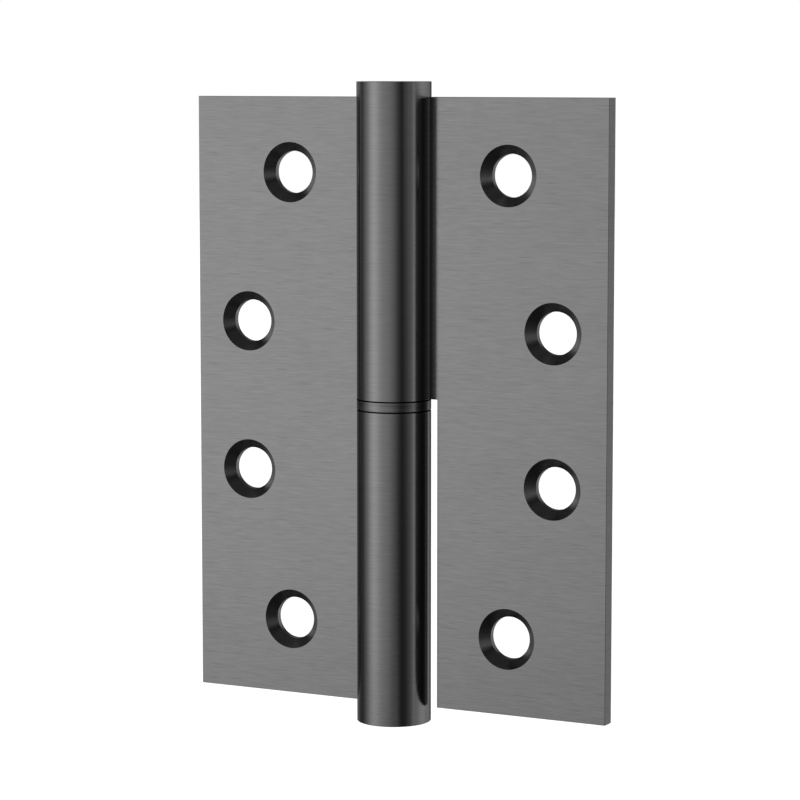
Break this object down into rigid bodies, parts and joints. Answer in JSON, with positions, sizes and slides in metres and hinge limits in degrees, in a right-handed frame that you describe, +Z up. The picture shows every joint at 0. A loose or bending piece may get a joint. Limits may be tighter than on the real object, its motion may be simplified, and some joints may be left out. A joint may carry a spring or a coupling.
{
  "type": "lift-off hinge",
  "caption": "Lift-off door hinge with flat countersunk leaves, a fixed pin in the lower knuckle and a bearing washer, so the door leaf swings and lifts off.",
  "frame": {"origin": "on the pin's axis at mid-height, which is the centre of the hinge's box when it lies open flat", "axes": "+Z up along the pin, +X across the door leaf, -Y out of the leaves' front faces, where the screw heads sit"},
  "size_m": [0.075, 0.0122, 0.105],
  "materials": {
    "leaf_metal": "dark satin-brushed, grain across the leaves and round the barrel",
    "pin_steel": "ground, lightly greased",
    "washer_metal": "dark, turned"
  },
  "bodies": {
    "frame_side": {"frame_leaf": "leaf_metal", "hinge_pin": "pin_steel"},
    "washer": {"bearing_washer": "washer_metal"},
    "door_side": {"door_leaf": "leaf_metal", "top_plug": "leaf_metal"}
  },
  "joints": [
    {"name": "swing", "type": "hinge", "parent": "frame_side", "child": "washer", "pos_m": [0, 0, 0], "axis": [0, 0, 1], "range_deg": [-180, 125]},
    {"name": "lift_off", "type": "slide", "parent": "washer", "child": "door_side", "axis": [0, 0, 1], "range_m": [0, 0.045]}
  ]
}
